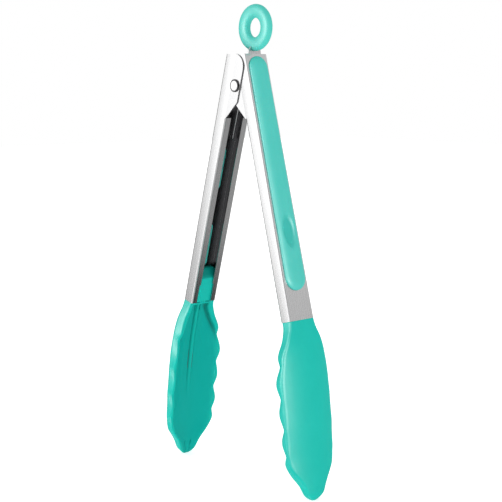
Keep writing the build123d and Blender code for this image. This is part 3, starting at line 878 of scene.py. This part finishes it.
# %% Floor
bpy.ops.mesh.primitive_plane_add(size=8, location=(0, 0, -0.3187))
floor = bpy.context.object
floor.name = "floor"
paper, tree = new_material("white_paper")
shader = add(tree, "ShaderNodeBsdfPrincipled", values={
    "Base Color": seen("#FFFFFF"), "Roughness": 0.9,
    "Emission Color": seen("#FFFFFF"), "Emission Strength": 0.45,
})
add(tree, "ShaderNodeOutputMaterial", links={"Surface": shader.outputs["BSDF"]})
floor.data.materials.append(paper)
floor.visible_glossy = False

# %% White surroundings
AROUND = 0.90
MIRRORED = 0.86
world = bpy.data.worlds.new("white_studio")
bpy.context.scene.world = world
world.use_nodes = True
tree = world.node_tree
tree.nodes.clear()
ray = add(tree, "ShaderNodeLightPath")
mirrored = add(
    tree, "ShaderNodeMapRange",
    values={"To Min": AROUND, "To Max": MIRRORED}, links={"Value": ray.outputs["Is Glossy Ray"]},
)
strength = add(
    tree, "ShaderNodeMath", settings={"operation": "MAXIMUM"},
    links={0: ray.outputs["Is Camera Ray"], 1: mirrored.outputs["Result"]},
)
light = add(
    tree, "ShaderNodeBackground",
    values={"Color": (1, 1, 1, 1)}, links={"Strength": strength.outputs["Value"]},
)
add(tree, "ShaderNodeOutputWorld", links={"Surface": light.outputs["Background"]})
bpy.context.scene.view_settings.view_transform = "Standard"


# %% Soft boxes and cards
BRIGHTEST = 2.2


def softbox(name, place, aim, size, brightness):
    """An upright soft light that faces a point, as bright as so many sheets of white paper."""
    bpy.ops.object.light_add(type="AREA", location=place)
    lamp = bpy.context.object
    lamp.name = name
    lamp.data.shape = "RECTANGLE"
    lamp.data.size, lamp.data.size_y = size
    lamp.data.energy = brightness * math.pi * size[0] * size[1]
    lamp.rotation_euler = (Vector(aim) - Vector(place)).to_track_quat("-Z", "Y").to_euler()
    return lamp


def card(name, place, aim, size, grey, glow=1.0, slope=(0, 0, 0)):
    """A card that faces a point and is seen in reflections only; a bright one may fade along its slope."""
    bpy.ops.mesh.primitive_plane_add(size=1, location=place)
    board = bpy.context.object
    board.name = name
    board.scale = (*size, 1)
    board.rotation_euler = (Vector(aim) - Vector(place)).to_track_quat("Z", "Y").to_euler()
    paint, tree = new_material(name)
    local = add(tree, "ShaderNodeTexCoord").outputs["Object"]
    fade = add(tree, "ShaderNodeVectorMath", settings={"operation": "DOT_PRODUCT"}, links={0: local})
    fade.inputs[1].default_value = slope
    strength = add(tree, "ShaderNodeMath", settings={"operation": "ADD"}, links={0: fade.outputs["Value"]})
    strength.inputs[1].default_value = glow
    most = add(
        tree, "ShaderNodeMath", settings={"operation": "MINIMUM"}, links={0: strength.outputs["Value"]},
    )
    most.inputs[1].default_value = BRIGHTEST
    emission = add(
        tree, "ShaderNodeEmission", values={"Color": seen(grey)}, links={"Strength": most.outputs["Value"]},
    )
    add(tree, "ShaderNodeOutputMaterial", links={"Surface": emission.outputs["Emission"]})
    board.data.materials.append(paint)
    board.visible_camera = False
    board.visible_diffuse = False
    board.visible_shadow = False
    board.visible_transmission = False
    return board


middle = Vector((-0.004, 0, -0.15))
softbox("key", (0.15, -1.3, 0.15), middle, (0.8, 0.8), 1.0)
card("mirrored_left", (-0.42, -0.68, -0.03), (0, 0, -0.03), (0.58, 0.90), "#FFFFFF", 5.65, (-5.9, 7.5, 0))
card("card_right", middle + Vector((0.76, 0.68, -0.05)), middle, (0.9, 0.22), "#101010")
card("card_low_right", middle + Vector((0.27, 0.30, -0.135)), middle, (0.8, 0.26), "#B4B4B4")
card("card_dish", middle + Vector((0.27, 0.30, -0.44)), middle + Vector((0, 0, -0.1)), (0.9, 0.4), "#202020")
card("card_left", middle + Vector((-1.0, 0.0, 0.0)), middle, (1.15, 0.9), "#181818")
card("card_behind", middle + Vector((-0.74, 0.66, -0.04)), middle, (0.8, 0.9), "#181818")
card("card_behind_camera", middle + Vector((0.80, -0.72, 0.14)), middle, (0.36, 0.9), "#101010")

# %% [markdown]
# Two bright strips stand to the left and to the right of the camera for the silicone alone, whose soft gloss
# needs far more light to show than steel does. Light linking keeps them off the steel.

# %% Strips of light for the silicone
for name, place, size, brightness, lit in (
    ("strip_near", (-0.23, -0.97, 0.0), (0.7, 1.2), 76, ("silicone", "pull_ring")),
    ("strip_right", (0.90, -0.44, -0.02), (0.7, 0.35), 150, ("silicone_grip", "inner_silicone_head")),
):
    strip = softbox(name, middle + Vector(place), middle, size, brightness)
    strip.visible_diffuse = False
    receivers = bpy.data.collections.new(f"{name}_lights")
    for piece in list(bpy.data.objects):
        if piece.type == "MESH" and any(word in piece.name for word in lit):
            receivers.objects.link(piece)
    strip.light_linking.receiver_collection = receivers

# %% Camera
bpy.ops.object.camera_add(location=(0.6065, -0.5483, -0.0379))
camera = bpy.context.object
aim = Vector((-0.0039, 0, -0.1543)) - camera.location
turn = aim.to_track_quat("-Z", "Y").to_matrix() @ Matrix.Rotation(math.radians(0.15), 3, "Z")
camera.rotation_euler = turn.to_euler()
camera.data.lens = 84.60
camera.data.sensor_width = 36
bpy.context.scene.camera = camera
